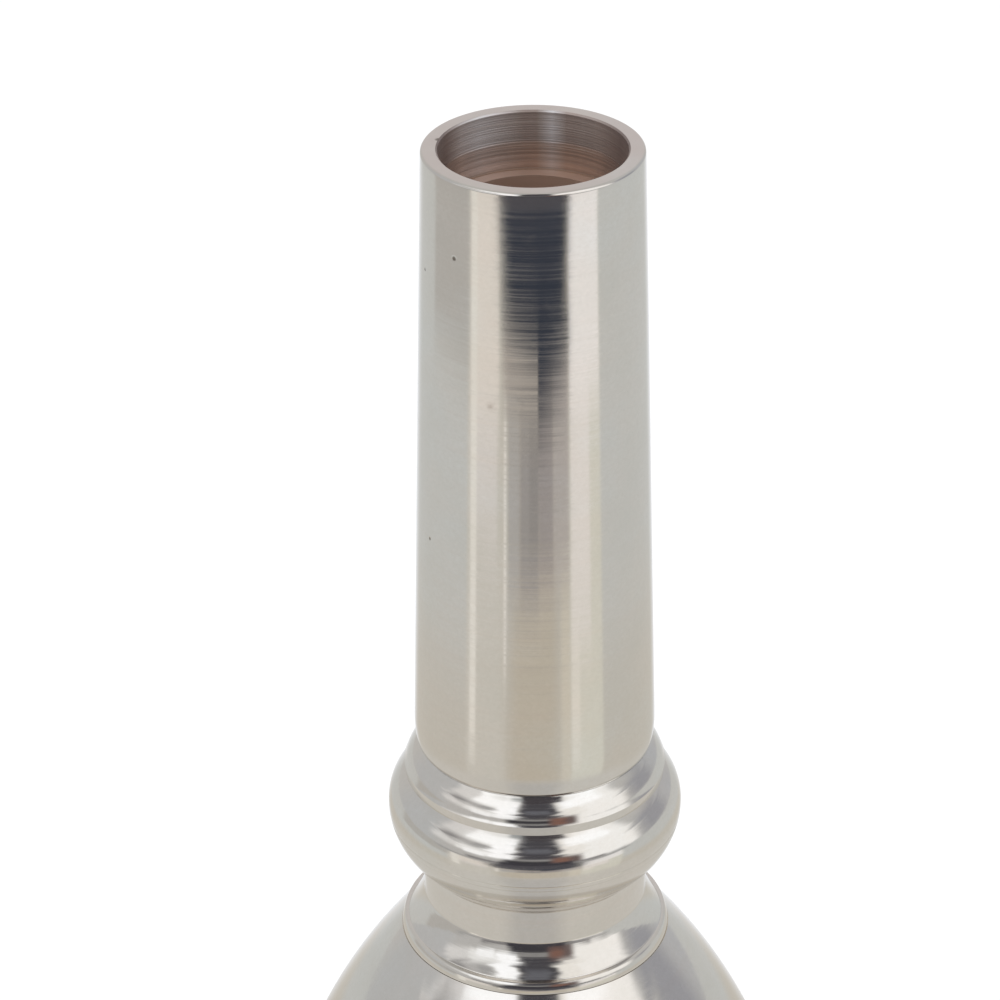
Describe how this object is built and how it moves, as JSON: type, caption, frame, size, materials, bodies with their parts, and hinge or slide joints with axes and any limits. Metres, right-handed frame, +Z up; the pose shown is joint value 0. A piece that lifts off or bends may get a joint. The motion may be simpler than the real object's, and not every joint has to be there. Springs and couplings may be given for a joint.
{
  "type": "brass instrument mouthpiece",
  "caption": "Silver-plated low brass mouthpiece with a screw rim, bowl cup, beaded screw stem and a tapered slip-on shank sleeve.",
  "frame": {"origin": "on the axis, in the plane of the rim's crest, where it stands", "axes": "+Z up the axis from the rim to the shank's end; the shape is round about it"},
  "size_m": [0.0446, 0.0446, 0.094],
  "materials": {
    "silver_plate": "silver plate on turned brass, polished, with fine turning marks and a warm tarnish that is brown inside the bore",
    "black_rubber": "matt black rubber"
  },
  "bodies": {
    "rim": {"rim": "silver_plate"},
    "rim_ring": {"rim_o_ring": "black_rubber"},
    "cup": {"cup": "silver_plate"},
    "stem_ring": {"stem_o_ring": "black_rubber"},
    "stem": {"stem": "silver_plate"},
    "shank_sleeve": {"shank_sleeve": "silver_plate"}
  },
  "joints": [
    {"name": "rim_thread_lift", "type": "slide", "parent": "rim", "child": "rim_ring", "axis": [0, 0, 1], "range_m": [0, 0.004]},
    {"name": "rim_thread_turn", "type": "hinge", "parent": "rim_ring", "child": "cup", "pos_m": [0, 0, 0.0096], "axis": [0, 0, 1], "range_deg": [0, 1440]},
    {"name": "stem_thread_lift", "type": "slide", "parent": "cup", "child": "stem_ring", "axis": [0, 0, 1], "range_m": [0, 0.005]},
    {"name": "stem_thread_turn", "type": "hinge", "parent": "stem_ring", "child": "stem", "pos_m": [0, 0, 0.0402], "axis": [0, 0, 1], "range_deg": [0, 1800]},
    {"name": "sleeve_slide", "type": "slide", "parent": "stem", "child": "shank_sleeve", "axis": [0, 0, 1], "range_m": [0, 0.04]}
  ],
  "couplings": [
    {"joint": "rim_thread_turn", "follows": "rim_thread_lift", "rad_per_m": 6283.2},
    {"joint": "stem_thread_turn", "follows": "stem_thread_lift", "rad_per_m": 6283.2}
  ]
}
